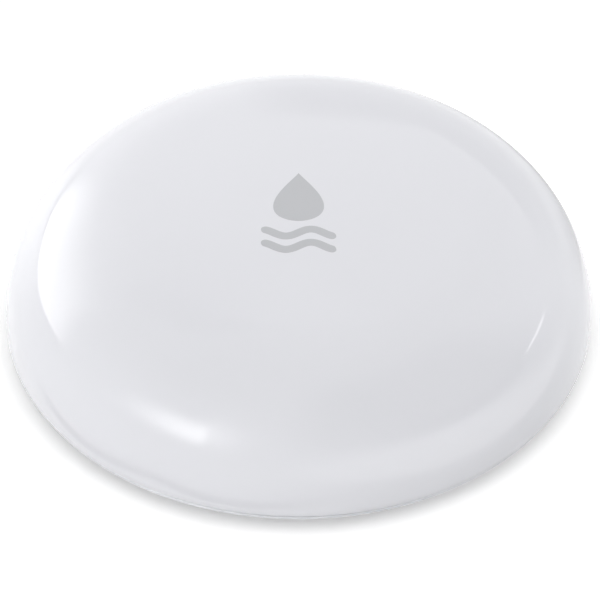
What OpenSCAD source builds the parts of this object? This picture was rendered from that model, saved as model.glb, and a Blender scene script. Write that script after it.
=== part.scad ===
// Round pebble-shaped water leak sensor. A domed cover slides down over a sealed base and presses a switch.
// The base carries a circuit board, two probe screws and a battery door that twists off.
// The origin is on the floor below the middle, +Z is up and -Y is the front.

/* [Body] */
// Outer diameter of the sensor
body_d = 50; // [45:0.5:58]
// Height from the floor to the crown
body_h = 15; // [14.6:0.1:17]
// Radius of the crown's arc
crown_r = 130; // [110:5:160]
// Radius of the lower edge's arc, between the widest line and the underside
edge_r = 2.2; // [1.9:0.1:2.4]

/* [Top cover] */
// Thickness of the cover's wall
cover_wall = 1.4; // [1.2:0.1:1.6]
// Thickness of the cover's skirt at the seal
skirt_t = 2.5; // [2.3:0.1:2.7]
// Thickness of the lip that laps over the base
lip_t = 0.45; // [0.4:0.05:0.6]
// Height of the seam above the floor
seam_z = 1.9; // [1.75:0.05:2.05]
// Travel of the cover when it is pressed
press_travel = 0.3; // [0.2:0.05:0.35]
// Diameter of the post that presses the switch
post_d = 4; // [3:0.5:6]
// Width of each snap hook
hook_w = 4; // [3:0.5:5]

/* [Base] */
// Height of the feet
foot_h = 0.5; // [0.4:0.1:0.7]
// Width of the feet
foot_w = 1.6; // [1:0.1:2]
// Thickness of the floor
floor_t = 1.5; // [1.4:0.1:1.8]
// Thickness of the guide wall
wall_t = 1.6; // [1.5:0.1:1.8]
// Cord diameter of the seal between the cover and the base
cover_cord_d = 1; // [0.8:0.05:1.05]

/* [Battery and door] */
// Diameter of the coin cell
cell_d = 20; // [16:0.5:20.5]
// Height of the coin cell
cell_h = 3.2; // [2.5:0.1:3.6]
// Wall thickness of the door's neck
neck_t = 1; // [0.8:0.1:1.1]
// Reach of the bayonet lugs beyond the neck
lug_reach = 1.4; // [1:0.1:1.5]
// Twist of the door from locked to open, in degrees
door_twist = 42; // [36:1:48]
// Cord diameter of the door's seal
door_cord_d = 0.8; // [0.7:0.05:0.9]
// Length of the coin slot
coin_slot_l = 15; // [10:0.5:18]
// Width of the coin slot
coin_slot_w = 2; // [1.6:0.1:2.4]

/* [Board and switch] */
// Thickness of the circuit board
board_t = 1; // [0.8:0.1:1.2]
// Height of the switch, from the board to the top of its plunger
switch_h = 4.3; // [4.1:0.1:4.6]
// Width of the switch
switch_w = 6; // [5.5:0.1:7]
// Diameter of the switch's plunger
plunger_d = 3.4; // [3:0.1:3.6]

/* [Probes and screws] */
// Diameter of the probe screws' heads
probe_head_d = 3.8; // [3.4:0.1:4]
// Diameter of the probe screws' shanks
probe_d = 2; // [1.6:0.1:2.2]
// Diameter of the board screws' shanks
board_screw_d = 1.4; // [1.2:0.1:1.5]
// Diameter of the board screws' heads
board_screw_head_d = 2.8; // [2.4:0.1:3]

/* [Hidden] */
$fn = 96;

// Clearances: between pieces that slide or turn, between pieces that only touch, and a cutter's overshoot
slide_gap = 0.1;
touch_gap = 0.02;
over = 1;

// Room for a seal's cord along its groove
cord_room = 0.2;

// Body: three tangent arcs, the crown, the shoulder down to the widest line and the lower edge below it
body_r = body_d / 2;
crown_z = body_h - crown_r;
shoulder_z = foot_h + edge_r;
shoulder_r = (pow(crown_r, 2) - pow(body_r, 2) - pow(shoulder_z - crown_z, 2)) / (2 * (crown_r - body_r));
shoulder_x = body_r - shoulder_r;
edge_x = body_r - edge_r;
meet_angle = atan2(shoulder_x, shoulder_z - crown_z);

// Cover: bore of the skirt, lip and seam
bore_r = body_r - skirt_t;
seam_r = body_edge_r(seam_z);
lip_r = seam_r - lip_t;
lap_h = 0.75;
rim_top_z = seam_z + lap_h;
stop_gap = 0.15;
lip_top_z = rim_top_z + press_travel + stop_gap;
edge_chamfer = 0.15;

// Base: levels from the floor up, and radii of the rim and the guide wall
base_z = foot_h;
floor_z = foot_h + floor_t;
ledge_z = seam_z - press_travel - slide_gap / 2;
ledge_r = body_edge_r(ledge_z);
rim_r = lip_r - slide_gap;
wall_r = bore_r - slide_gap;
wall_in_r = wall_r - wall_t;
groove_w = cover_cord_d + cord_room;
land_h = 0.5;
groove_z = rim_top_z + land_h;
groove_r = bore_r - cover_cord_d - 2 * touch_gap;
foot_inset = 0.3;
foot_r = edge_x - foot_inset - foot_w;
foot_edge = 0.2;
foot_sweep_angle = 46;
foot_angles = [45, 135, 225, 315];

// Snap hooks of the cover and their windows in the guide wall
hook_angles = [90, 210, 330];
hook_t = 1;
hook_r = wall_in_r - 2 * slide_gap;
barb_w = 1.2;
barb_h = 0.6;
barb_lead = 0.4;
web_h = 0.3;
bridge_h = 0.6;
window_z = groove_z + groove_w + web_h;
window_h = barb_h + press_travel + slide_gap + touch_gap;
barb_top_z = window_z + window_h - touch_gap;
window_w = hook_w + 4 * slide_gap;
wall_top_z = window_z + window_h + bridge_h;

// Battery door: neck, lugs, bayonet ring and face seal
cell_r = cell_d / 2;
cell_room = 0.3;
neck_in_r = cell_r + cell_room;
neck_r = neck_in_r + neck_t;
lug_r = neck_r + lug_reach;
lug_sweep_angle = 24;
lug_t = 0.7;
slot_r = lug_r + slide_gap;
slot_room_angle = 4;
slot_sweep_angle = lug_sweep_angle + slot_room_angle;
slot_angles = [90, 210, 330];
ring_t = 0.8;
ring_top_z = floor_z + ring_t;
lug_z = ring_top_z + slide_gap / 2;
lug_top_z = lug_z + lug_t;
stop_sweep_angle = 4;
stop_side_angle = (slot_sweep_angle + stop_sweep_angle) / 2;
stop_angles = [-stop_side_angle, door_twist + stop_side_angle];
door_groove_w = door_cord_d + cord_room;
door_seal_r = slot_r + slide_gap / 2 + door_groove_w / 2;
door_groove_h = door_cord_d + 2 * touch_gap;
door_rim = 0.5;
door_r = door_seal_r + door_groove_w / 2 + door_rim;
door_hole_r = door_r + slide_gap;
door_edge = 0.25;
hole_edge = 0.2;
ring_in_r = neck_r + slide_gap;
ring_lap = 1.4;
ring_out_r = door_hole_r + ring_lap;
guard_room = 0.3;
guard_r = slot_r + guard_room;
guard_t = 1;
guard_h = 0.3;
coin_slot_h = 0.7;
dot_r = 0.5;
dot_h = 0.2;
door_dot_angle = 250;

// Coin cell, resting on the door
cell_z = floor_z + slide_gap / 2;
cell_top_z = cell_z + cell_h;
can_t = 0.3;
lid_rise = 0.4;
can_h = cell_h - lid_rise;
grommet_t = 0.6;
can_in_r = cell_r - can_t;
lid_r = can_in_r - grommet_t;
lid_edge = 0.25;

// Board, held above the cell by bosses, with the cell's contacts under it
contact_gap = 1.15;
board_z = cell_top_z + contact_gap;
board_top_z = board_z + board_t;
board_room = 0.6;
board_r = hook_r - hook_t - board_room;
contact_t = 0.2;
contact_w = 4;
leaf_pad_l = 3;
leaf_arm_l = 3.6;
leaf_tip_l = 1;
leaf_tip_h = 0.35;
tab_pad_l = 2.6;
tab_gap = 0.3;

// Board screws and their bosses
boss_wall = 1;
boss_r = board_screw_d / 2 + boss_wall;
boss_margin = 0.2;
boss_place_r = board_r - boss_r - boss_margin;
boss_angles = [45, 150, 270];
board_hole_room = 0.15;
board_hole_r = board_screw_d / 2 + board_hole_room;
screw_reach = 2.6;
board_head_h = 0.9;
board_head_crown = 0.3;
recess_width_share = 0.3;
recess_length_share = 0.6;

// Probes, half-way between the bayonet ring and the guide wall and clear of the wall
probe_angles = [0, 180];
probe_r = probe_d / 2;
standoff_wall = 0.7;
standoff_r = probe_r + standoff_wall;
probe_place_r = min((ring_out_r + wall_in_r) / 2, wall_in_r - standoff_r - slide_gap);
probe_head_r = probe_head_d / 2;
probe_head_h = 0.8;
probe_head_crown = 0.3;
probe_sink = 0.2;
probe_head_z = foot_h - probe_sink;
probe_boss_wall = 0.4;
probe_boss_r = probe_head_r + probe_boss_wall;
probe_boss_h = 2.4;
probe_boss_top_z = floor_z + probe_boss_h;
probe_cord_d = 0.4;
sink_room = 0.15;
sink_r = probe_head_r + sink_room;
sink_top_z = probe_head_z + probe_head_h + probe_cord_d + 2 * touch_gap;
spigot_wall = 0.25;
spigot_r = probe_r + spigot_wall;
spigot_h = 0.4;
thread_end_gap = 0.3;
probe_end_z = board_z - thread_end_gap;

// Switch, from the board up
switch_z = board_top_z;
plate_t = 0.3;
plunger_top_z = switch_z + switch_h;
plunger_out = 0.9;
plate_top_z = plunger_top_z - plunger_out;
plate_z = plate_top_z - plate_t;
plunger_r = plunger_d / 2;
collar_w = 0.6;
collar_r = plunger_r + collar_w;
collar_t = 0.5;
collar_z = plate_z - touch_gap - collar_t;
well_room = 0.25;
well_r = collar_r + well_room;
snap_rise = 0.55;
snap_t = 0.12;
well_z = collar_z - touch_gap - snap_rise;
snap_r = well_r - slide_gap;
snap_sphere_r = (pow(snap_r, 2) + pow(snap_rise, 2)) / (2 * snap_rise);
leg_w = 0.7;
leg_t = 0.2;
leg_reach = 1.3;
leg_pitch = 4.5;
leg_h = 0.8;
post_z = plunger_top_z + touch_gap;

// Small board parts: sizes, and places as shares of the board's radius
radio_size = [6, 6, 0.9];
radio_place = [-0.5, 0.21];
memory_size = [3, 1.8, 1];
memory_place = [0.47, 0.26];
crystal_size = [3.2, 2.5, 0.75];
crystal_place = [-0.5, -0.19];
led_size = [1.6, 0.8, 0.6];
led_place = [0, -0.4];
capacitor_size = [1.6, 0.8, 0.8];
capacitor_places = [[-0.71, -0.1], [-0.71, -0.21], [-0.27, -0.47], [-0.4, -0.47], [0.47, -0.16]];
resistor_size = [1.6, 0.8, 0.45];
resistor_places = [[0.47, 0.13], [0.47, 0.03], [0.47, -0.06], [0.21, -0.5], [0.34, -0.5], [0.66, 0.21]];
trace_w = 0.8;
trace_t = 0.06;
trace_pitch = 2.4;
trace_turns = 6;
trace_l = 3.2;
trace_inset = 7.8;
trace_x = -(trace_turns * trace_pitch + trace_w) / 2;
trace_y = board_r - trace_inset;

// Height of the dome at radius r, a depth of inset inside its outer face
function dome_z(r, inset) =
    r <= (crown_r - inset) * sin(meet_angle)
    ? crown_z + sqrt(pow(crown_r - inset, 2) - pow(r, 2))
    : shoulder_z + sqrt(pow(shoulder_r - inset, 2) - pow(r - shoulder_x, 2));

// Radius of the body's outer face at height z, on the lower edge
function body_edge_r(z) = edge_x + sqrt(pow(edge_r, 2) - pow(shoulder_z - z, 2));

// Direction from an arc's centre, at an angle from the vertical, scaled by a length
function ray(angle, length) = [length * sin(angle), length * cos(angle)];

// Half section of the body above low_z, a depth of inset inside its outer face
module body_section(inset, low_z) {
    far = 1.2;
    intersection() {
        union() {
            intersection() {
                translate([0, crown_z]) circle(r = crown_r - inset);
                translate([0, crown_z])
                    polygon([[0, 0], ray(meet_angle, far * crown_r), ray(0, far * crown_r)]);
            }
            intersection() {
                translate([shoulder_x, shoulder_z]) circle(r = shoulder_r - inset);
                translate([shoulder_x, shoulder_z])
                    polygon([
                        [0, 0], ray(90, 2 * shoulder_r),
                        ray(45, 3 * shoulder_r), ray(meet_angle, 2 * shoulder_r)
                    ]);
            }
            translate([0, base_z]) square([edge_x, edge_r]);
            intersection() {
                translate([edge_x, shoulder_z]) circle(r = edge_r - inset);
                translate([edge_x, base_z]) square(edge_r);
            }
        }
        translate([0, low_z]) square([body_r + over, body_h]);
    }
}

// Ring of rectangular section, from radius r0 to r1 and height z0 to z1
module ring(r0, r1, z0, z1) {
    rotate_extrude() translate([r0, z0]) square([r1 - r0, z1 - z0]);
}

// Stretch of such a ring, span degrees wide and centred on an angle
module ring_sector(r0, r1, z0, z1, angle, span) {
    rotate(angle - span / 2)
        rotate_extrude(angle = span) translate([r0, z0]) square([r1 - r0, z1 - z0]);
}

// Foot: an arc under the base with chamfered edges and round ends, centred on an angle
module foot(angle) {
    half_w = foot_w / 2;
    foot_top_z = base_z + floor_t / 2;
    half = [[0, 0], [half_w - foot_edge, 0], [half_w, foot_edge], [half_w, foot_top_z], [0, foot_top_z]];
    rotate(angle - foot_sweep_angle / 2)
        rotate_extrude(angle = foot_sweep_angle) translate([foot_r + half_w, 0])
            for (side = [0, 1]) mirror([side, 0]) polygon(half);
    for (side = [-1, 1])
        rotate(angle + side * foot_sweep_angle / 2) translate([foot_r + half_w, 0, 0])
            rotate_extrude() polygon(half);
}

// Rubber ring of round section, with the middle of its cord at radius r and height z
module o_ring(r, z, cord_d) {
    rotate_extrude() translate([r, z]) circle(d = cord_d);
}

// Pan head of a screw, from height 0 up to its crown
module pan_head(head_r, head_h, crown) {
    crown_r = (pow(head_r, 2) + pow(crown, 2)) / (2 * crown);
    rotate_extrude() intersection() {
        translate([0, head_h - crown_r]) circle(r = crown_r);
        square([head_r, head_h]);
    }
}

// Cross recess for a screwdriver, cut downwards from height 0
module cross_recess(width, length, depth) {
    for (turn = [0, 90])
        rotate(turn) translate([-length / 2, -width / 2, -depth]) cube([length, width, depth + over]);
}

// Box that stands on the board's top
module board_part(place, size) {
    translate([place[0] * board_r - size[0] / 2, place[1] * board_r - size[1] / 2, board_top_z]) cube(size);
}

// Half section of the cover: the dome less the room inside it
module cover_section() {
    difference() {
        intersection() {
            body_section(0, seam_z);
            polygon([
                [0, seam_z], [seam_r - edge_chamfer, seam_z],
                [seam_r - edge_chamfer + body_h, seam_z + body_h], [0, seam_z + body_h]
            ]);
        }
        intersection() {
            body_section(cover_wall, seam_z - over);
            translate([0, seam_z - over]) square([bore_r, body_h]);
        }
        translate([0, seam_z - over]) square([lip_r, lip_top_z - seam_z + over]);
    }
}

// Snap hook: an arm that hangs from the dome, with a barb that points outwards
module snap_hook() {
    arm_in_r = hook_r - hook_t;
    barb_z = barb_top_z - barb_h;
    rotate([90, 0, 0]) translate([0, 0, -hook_w / 2]) linear_extrude(hook_w)
        polygon([
            [arm_in_r, barb_z], [hook_r, barb_z],
            [hook_r + barb_w, barb_z + barb_lead], [hook_r + barb_w, barb_top_z], [hook_r, barb_top_z],
            [hook_r, dome_z(hook_r, cover_wall / 2)], [arm_in_r, dome_z(arm_in_r, cover_wall / 2)]
        ]);
}

// Domed cover with its skirt, press post and snap hooks
module top_cover() {
    color("#e4e5e9") union() {
        rotate_extrude() cover_section();
        translate([0, 0, post_z]) cylinder(d = post_d, h = body_h - cover_wall / 2 - post_z);
        for (angle = hook_angles) rotate(angle) snap_hook();
    }
}

// Half section of the base: floor, rim, guide wall with its groove, and the door's bayonet ring
module base_section() {
    difference() {
        union() {
            intersection() {
                body_section(0, base_z);
                polygon([
                    [door_hole_r + hole_edge, base_z], [body_r, base_z],
                    [body_r, ledge_z - body_r + ledge_r - edge_chamfer], [ledge_r - edge_chamfer, ledge_z],
                    [door_hole_r, ledge_z], [door_hole_r, base_z + hole_edge]
                ]);
            }
            translate([door_hole_r, ledge_z - edge_chamfer])
                square([wall_in_r - door_hole_r + wall_t / 2, floor_z - ledge_z + edge_chamfer]);
            translate([wall_in_r, ledge_z - edge_chamfer])
                square([rim_r - wall_in_r, rim_top_z - ledge_z + edge_chamfer]);
            translate([wall_in_r, floor_z - ring_t]) square([wall_t, wall_top_z - floor_z + ring_t]);
            translate([ring_in_r, floor_z]) square([ring_out_r - ring_in_r, ring_t]);
            translate([guard_r, floor_z]) square([guard_t, lug_top_z + guard_h - floor_z]);
        }
        translate([groove_r, groove_z]) square([wall_t, groove_w]);
    }
}

// Base shell with its feet, bosses, hook windows and door seat
module base_shell() {
    color("#dcdde1") difference() {
        union() {
            rotate_extrude() base_section();
            for (angle = foot_angles) foot(angle);
            for (angle = slot_angles, stop = stop_angles)
                ring_sector(
                    ring_in_r + slide_gap, guard_r + slide_gap, ring_top_z - ring_t / 2, lug_top_z,
                    angle + stop, stop_sweep_angle
                );
            for (angle = probe_angles)
                rotate(angle) translate([probe_place_r, 0, floor_z])
                    cylinder(r = probe_boss_r, h = probe_boss_top_z - floor_z);
            for (angle = boss_angles)
                rotate(angle) translate([boss_place_r, 0, floor_z])
                    cylinder(r = boss_r, h = board_z - floor_z);
        }
        for (angle = slot_angles)
            ring_sector(
                ring_in_r - over, slot_r, floor_z - over, ring_top_z + over, angle, slot_sweep_angle
            );
        for (angle = hook_angles)
            rotate(angle) translate([wall_in_r - over, -window_w / 2, window_z])
                cube([wall_t + 2 * over, window_w, window_h]);
        for (angle = probe_angles)
            rotate(angle) translate([probe_place_r, 0, 0]) {
                translate([0, 0, -over]) cylinder(r = sink_r, h = sink_top_z + over);
                translate([0, 0, base_z]) cylinder(r1 = sink_r + hole_edge, r2 = sink_r, h = hole_edge);
                cylinder(r = probe_r + touch_gap, h = probe_boss_top_z + over);
            }
        for (angle = boss_angles)
            rotate(angle) translate([boss_place_r, 0, board_z - screw_reach - slide_gap])
                cylinder(d = board_screw_d + 2 * touch_gap, h = screw_reach + over);
        for (turn = [0, -door_twist])
            rotate(door_dot_angle + turn) translate([ring_out_r - dot_r, 0, base_z - over])
                cylinder(r = dot_r, h = dot_h + over);
    }
}

// Seal in the guide wall's groove, inside the cover's bore
module cover_o_ring() {
    color("#2b2c2e") o_ring(bore_r - touch_gap - cover_cord_d / 2, groove_z + groove_w / 2, cover_cord_d);
}

// Half section of the door: the flange with its seal groove, and the neck round the cell
module door_section() {
    difference() {
        union() {
            polygon([
                [0, base_z], [door_r - door_edge, base_z], [door_r, base_z + door_edge],
                [door_r, floor_z - touch_gap], [0, floor_z - touch_gap]
            ]);
            translate([neck_in_r, floor_z - floor_t / 2])
                square([neck_t, lug_top_z - floor_z + floor_t / 2]);
        }
        translate([door_seal_r - door_groove_w / 2, floor_z - touch_gap - door_groove_h])
            square([door_groove_w, door_groove_h + over]);
    }
}

// Battery door with its bayonet lugs, coin slot and alignment dot
module battery_door() {
    slot_run = coin_slot_l - coin_slot_w;
    half_w = coin_slot_w / 2;
    half = [
        [0, -over], [half_w + door_edge, -over], [half_w + door_edge, 0],
        [half_w, door_edge], [half_w, coin_slot_h], [0, coin_slot_h]
    ];
    color("#d6d7db") difference() {
        union() {
            rotate_extrude() door_section();
            for (angle = slot_angles)
                ring_sector(
                    neck_r - neck_t / 2, lug_r, lug_z, lug_top_z, angle + door_twist, lug_sweep_angle
                );
        }
        translate([-slot_run / 2, 0, base_z]) rotate([90, 0, 90]) linear_extrude(slot_run)
            for (side = [0, 1]) mirror([side, 0]) polygon(half);
        for (side = [-1, 1])
            translate([side * slot_run / 2, 0, base_z]) rotate_extrude() polygon(half);
        rotate(door_dot_angle) translate([door_seal_r - door_groove_w, 0, base_z - over])
            cylinder(r = dot_r, h = dot_h + over);
    }
}

// Seal in the door's groove, against the underside of the bayonet ring
module door_o_ring() {
    color("#2b2c2e") o_ring(door_seal_r, floor_z - 2 * touch_gap - door_cord_d / 2, door_cord_d);
}

// Can of the coin cell, its positive side
module coin_cell_can() {
    color("#b9bbbd") difference() {
        translate([0, 0, cell_z]) cylinder(r = cell_r, h = can_h);
        translate([0, 0, cell_z + can_t]) cylinder(r = can_in_r, h = can_h);
    }
}

// Lid of the coin cell with the filling below it, its negative side
module coin_cell_lid() {
    low_z = cell_z + can_t + touch_gap;
    color("#c9cbcd") rotate_extrude()
        polygon([
            [0, low_z], [lid_r, low_z], [lid_r, cell_top_z - lid_edge],
            [lid_r - lid_edge, cell_top_z], [0, cell_top_z]
        ]);
}

// Insulating ring between the can and the lid
module coin_cell_grommet() {
    low_z = cell_z + can_t + touch_gap;
    color("#3a3b40") ring(lid_r + touch_gap, can_in_r - touch_gap, low_z, cell_z + can_h);
}

// Leaf under the board that presses on the cell's lid with two sprung arms
module negative_contact() {
    low_z = cell_top_z + touch_gap;
    bend_x = leaf_pad_l + leaf_arm_l;
    tip_x = bend_x + leaf_tip_l;
    low_side = [
        [-tip_x, low_z + leaf_tip_h], [-bend_x, low_z], [-leaf_pad_l, board_z - contact_t],
        [leaf_pad_l, board_z - contact_t], [bend_x, low_z], [tip_x, low_z + leaf_tip_h]
    ];
    top_side = [for (i = [len(low_side) - 1:-1:0]) low_side[i] + [0, contact_t]];
    color("#c2b48a") rotate([90, 0, 0]) translate([0, 0, -contact_w / 2])
        linear_extrude(contact_w) polygon(concat(low_side, top_side));
}

// Bent tab under the board that touches the side of the cell's can
module positive_contact() {
    tab_r = cell_r + touch_gap;
    tab_z = lug_top_z + tab_gap;
    pad_r = tab_r + tab_pad_l;
    color("#c2b48a") rotate([90, 0, 90]) translate([0, 0, -contact_w / 2]) linear_extrude(contact_w)
        polygon([
            [tab_r, tab_z], [tab_r + contact_t, tab_z], [tab_r + contact_t, board_z - contact_t],
            [pad_r, board_z - contact_t], [pad_r, board_z], [tab_r, board_z]
        ]);
}

// Round circuit board with holes for its screws and the probe posts
module circuit_board() {
    color("#1f5b3a") difference() {
        translate([0, 0, board_z]) cylinder(r = board_r, h = board_t);
        for (angle = boss_angles)
            rotate(angle) translate([boss_place_r, 0, board_z - over])
                cylinder(r = board_hole_r, h = board_t + 2 * over);
        for (angle = probe_angles)
            rotate(angle) translate([probe_place_r, 0, board_z - over])
                cylinder(r = spigot_r + touch_gap, h = board_t + 2 * over);
    }
}

// Housing of the push switch, with a well for the snap dome
module switch_housing() {
    color("#26272a") difference() {
        translate([-switch_w / 2, -switch_w / 2, switch_z]) cube([switch_w, switch_w, plate_z - switch_z]);
        translate([0, 0, well_z]) cylinder(r = well_r, h = switch_h);
    }
}

// Metal plate that closes the switch round its plunger
module switch_cover_plate() {
    color("#b4b6b9") difference() {
        translate([-switch_w / 2, -switch_w / 2, plate_z]) cube([switch_w, switch_w, plate_t]);
        translate([0, 0, plate_z - over]) cylinder(r = plunger_r + slide_gap / 2, h = plate_t + 2 * over);
    }
}

// Plunger of the switch, held under the plate by its collar
module switch_plunger() {
    color("#303134") union() {
        translate([0, 0, collar_z]) cylinder(r = collar_r, h = collar_t);
        translate([0, 0, collar_z + collar_t / 2])
            cylinder(r = plunger_r, h = plunger_top_z - collar_z - collar_t / 2);
    }
}

// Thin snap dome at the bottom of the well
module switch_snap_dome() {
    centre_z = well_z + touch_gap + snap_rise - snap_sphere_r;
    color("#c9b98c") intersection() {
        difference() {
            translate([0, 0, centre_z]) sphere(r = snap_sphere_r);
            translate([0, 0, centre_z]) sphere(r = snap_sphere_r - snap_t);
        }
        translate([0, 0, well_z + touch_gap]) cylinder(r = snap_r, h = snap_rise + over);
    }
}

// Four bent legs of the switch
module switch_terminals() {
    color("#c4c6c8") for (side = [0, 180], row = [-1, 1])
        rotate(side) translate([switch_w / 2, row * leg_pitch / 2 - leg_w / 2, switch_z]) {
            cube([leg_reach, leg_w, leg_t]);
            cube([leg_t, leg_w, leg_h]);
        }
}

// Radio chip
module radio_chip() {
    color("#222326") board_part(radio_place, radio_size);
}

// Memory chip
module memory_chip() {
    color("#2a2b2e") board_part(memory_place, memory_size);
}

// Quartz crystal in its metal can
module crystal() {
    color("#c3c4c1") board_part(crystal_place, crystal_size);
}

// Signal lamp
module status_led() {
    color("#f3edd4") board_part(led_place, led_size);
}

// Chip capacitors
module capacitors() {
    color("#a98a63") for (place = capacitor_places) board_part(place, capacitor_size);
}

// Chip resistors
module resistors() {
    color("#2d2d30") for (place = resistor_places) board_part(place, resistor_size);
}

// Meander of copper that serves as the antenna
module antenna_trace() {
    color("#b57b45") translate([trace_x, trace_y, board_top_z]) linear_extrude(trace_t) {
        for (i = [0:trace_turns])
            translate([i * trace_pitch, 0]) square([trace_w, trace_l]);
        for (i = [0:trace_turns - 1])
            translate([i * trace_pitch, (i % 2) * (trace_l - trace_w)])
                square([trace_pitch + trace_w, trace_w]);
    }
}

// Two screws whose heads are the probes under the base
module probe_screws() {
    shank_z = probe_head_z + probe_head_h;
    color("#c8c9cb") for (angle = probe_angles)
        rotate(angle) translate([probe_place_r, 0, shank_z]) difference() {
            union() {
                mirror([0, 0, 1]) pan_head(probe_head_r, probe_head_h, probe_head_crown);
                cylinder(r = probe_r, h = probe_end_z - shank_z);
            }
            mirror([0, 0, 1]) translate([0, 0, probe_head_h])
                cross_recess(
                    recess_width_share * probe_d, recess_length_share * probe_head_d, probe_head_h / 2
                );
        }
}

// Small seals between the probe heads and the base
module probe_seals() {
    seal_z = (probe_head_z + probe_head_h + sink_top_z) / 2;
    color("#2b2c2e") for (angle = probe_angles)
        rotate(angle) translate([probe_place_r, 0, 0])
            o_ring(probe_r + 2 * touch_gap + probe_cord_d / 2, seal_z, probe_cord_d);
}

// Threaded posts that lead the probes up to the board
module probe_standoffs() {
    color("#c9a95c") for (angle = probe_angles)
        rotate(angle) translate([probe_place_r, 0, 0]) difference() {
            union() {
                translate([0, 0, probe_boss_top_z])
                    cylinder(r = standoff_r, h = board_z - probe_boss_top_z);
                translate([0, 0, board_z - contact_t])
                    cylinder(r = spigot_r, h = contact_t + board_t + spigot_h);
            }
            translate([0, 0, probe_boss_top_z - over])
                cylinder(r = probe_r + touch_gap, h = probe_end_z + touch_gap - probe_boss_top_z + over);
        }
}

// Pan-head screws that hold the board on its bosses
module board_screws() {
    color("#9fa2a6") for (angle = boss_angles)
        rotate(angle) translate([boss_place_r, 0, board_top_z]) difference() {
            union() {
                pan_head(board_screw_head_d / 2, board_head_h, board_head_crown);
                translate([0, 0, -board_t - screw_reach])
                    cylinder(d = board_screw_d, h = board_t + screw_reach);
            }
            translate([0, 0, board_head_h])
                cross_recess(
                    recess_width_share * board_screw_d, recess_length_share * board_screw_head_d,
                    board_head_h / 2
                );
        }
}

top_cover();
base_shell();
cover_o_ring();
battery_door();
door_o_ring();
coin_cell_can();
coin_cell_lid();
coin_cell_grommet();
negative_contact();
positive_contact();
circuit_board();
switch_housing();
switch_cover_plate();
switch_plunger();
switch_snap_dome();
switch_terminals();
radio_chip();
memory_chip();
crystal();
status_led();
capacitors();
resistors();
antenna_trace();
probe_screws();
probe_seals();
probe_standoffs();
board_screws();
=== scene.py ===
import bpy
import numpy as np
from mathutils import Matrix, Vector


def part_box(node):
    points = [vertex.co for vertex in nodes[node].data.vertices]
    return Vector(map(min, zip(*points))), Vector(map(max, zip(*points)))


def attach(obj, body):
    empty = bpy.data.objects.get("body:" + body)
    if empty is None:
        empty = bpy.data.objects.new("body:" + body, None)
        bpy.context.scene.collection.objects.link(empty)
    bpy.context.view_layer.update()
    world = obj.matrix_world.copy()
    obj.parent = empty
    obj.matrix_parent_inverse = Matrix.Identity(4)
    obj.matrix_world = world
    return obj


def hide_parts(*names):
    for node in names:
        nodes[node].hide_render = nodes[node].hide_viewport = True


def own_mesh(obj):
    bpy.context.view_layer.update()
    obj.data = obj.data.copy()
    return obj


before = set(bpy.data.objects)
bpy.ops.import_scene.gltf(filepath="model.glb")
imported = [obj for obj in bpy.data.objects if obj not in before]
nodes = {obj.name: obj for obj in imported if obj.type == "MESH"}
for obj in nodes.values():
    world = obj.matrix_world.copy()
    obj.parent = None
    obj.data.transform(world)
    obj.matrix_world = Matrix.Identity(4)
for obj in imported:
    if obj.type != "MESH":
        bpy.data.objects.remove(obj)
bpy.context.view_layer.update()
mm = 0.001
micron = 1e-6
print("leak sensor: frame loaded,", len(nodes), "nodes")


def cadBox(node):  # lowest and highest corners of a CAD node at rest, in millimetres, to the micrometre
    return [np.round(np.array(corner) / mm, 3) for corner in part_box(node)]


def addObject(name, data):
    thing = bpy.data.objects.new(name, data)
    bpy.context.scene.collection.objects.link(thing)
    return thing


def standAt(thing, place, x, y, z):  # puts an object at a place, with its own axes along x, y and z
    thing.matrix_world = Matrix.Translation(place) @ Matrix((x, y, z)).transposed().to_4x4()


# camera: a long lens 306 mm from the middle of the sensor, looking down at it from the front
cameraSettings = {"lens": 215.9, "sensor": 36, "clipStart": 0.01, "clipEnd": 20, "elevation": 41.45,
                  "distance": 306.0, "aimZ": 6.0, "right": 0.117, "down": 2.036}


def makeCamera(s):
    e = np.radians(s["elevation"])
    right = Vector((1, 0, 0))
    back = Vector((0, -np.cos(e), np.sin(e)))
    up = back.cross(right)
    eye = Vector((0, 0, s["aimZ"])) + back * s["distance"] + right * s["right"] - up * s["down"]
    data = bpy.data.cameras.new("photoCamera")
    data.lens = s["lens"]
    data.sensor_width = s["sensor"]
    data.clip_start = s["clipStart"]
    data.clip_end = s["clipEnd"]
    cam = addObject("photoCamera", data)
    standAt(cam, eye * mm, right, up, back)
    bpy.context.scene.camera = cam


makeCamera(cameraSettings)
bpy.context.scene.view_settings.view_transform = "Standard"
print("camera placed")


# shader helpers: a node tree is filled by short calls
def addNode(tree, kind, at=(0, 0), **values):
    n = tree.nodes.new(kind)
    n.location = at
    for key, value in values.items():
        setattr(n, key, value)
    return n


def setIn(node, **values):  # numbers and colours by socket name, with _ for a space
    for key, value in values.items():
        node.inputs[key.replace("_", " ")].default_value = value
    return node


def linkIn(tree, node, **sockets):  # links by socket name, with _ for a space
    for key, socket in sockets.items():
        tree.links.new(socket, node.inputs[key.replace("_", " ")])
    return node


def mathStep(tree, kind, *values, at=(0, 0)):  # a math node fed by numbers and sockets
    n = addNode(tree, "ShaderNodeMath", at, operation=kind)
    for place, value in zip(n.inputs, values):
        if isinstance(value, (int, float)):
            place.default_value = value
        else:
            tree.links.new(value, place)
    return n.outputs[0]


def fadeStep(tree, value, start, end, first=0.0, last=1.0, at=(-500, 0)):  # smooth step from first to last
    n = addNode(tree, "ShaderNodeMapRange", at, interpolation_type="SMOOTHSTEP")
    setIn(n, From_Min=start, From_Max=end, To_Min=first, To_Max=last)
    return linkIn(tree, n, Value=value).outputs[0]


def splitAxes(tree, coords, at):
    return linkIn(tree, addNode(tree, "ShaderNodeSeparateXYZ", at), Vector=coords).outputs


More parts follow.
